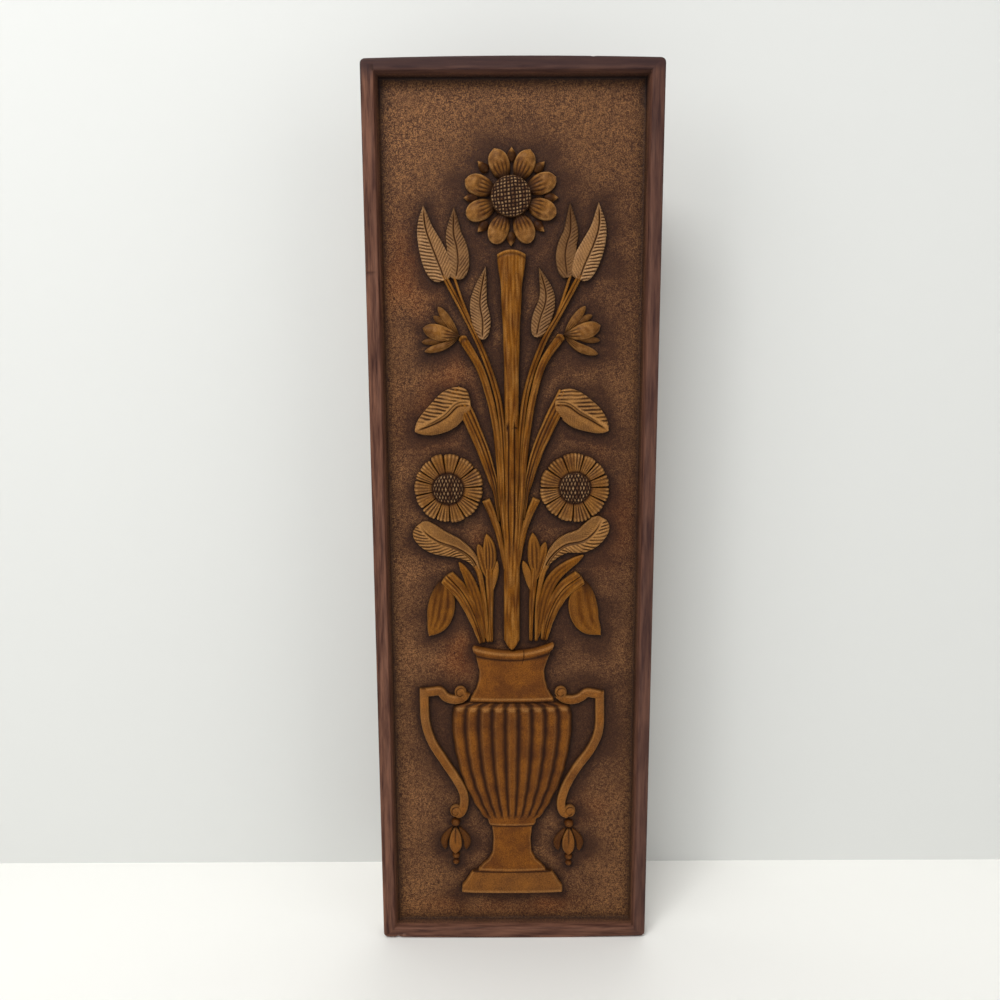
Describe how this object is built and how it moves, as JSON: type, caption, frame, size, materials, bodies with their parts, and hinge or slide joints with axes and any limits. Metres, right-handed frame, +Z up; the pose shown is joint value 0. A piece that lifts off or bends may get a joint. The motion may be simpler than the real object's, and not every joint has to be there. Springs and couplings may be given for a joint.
{
  "type": "wall plaque",
  "caption": "Tall carved wooden wall plaque: an urn of flowers and leaves in relief on a sunk ground inside a plain raised rim, with a flat back.",
  "frame": {"origin": "centre of the flat back face", "axes": "+Z up along the plaque's length, +X to the right seen from the front, +Y from the front into the wall"},
  "size_m": [0.29, 0.028, 0.918],
  "materials": {
    "stained_wood": "dark brown stain with worn golden high spots, satin"
  },
  "bodies": {
    "root": {"carved_panel": "stained_wood"}
  },
  "joints": []
}
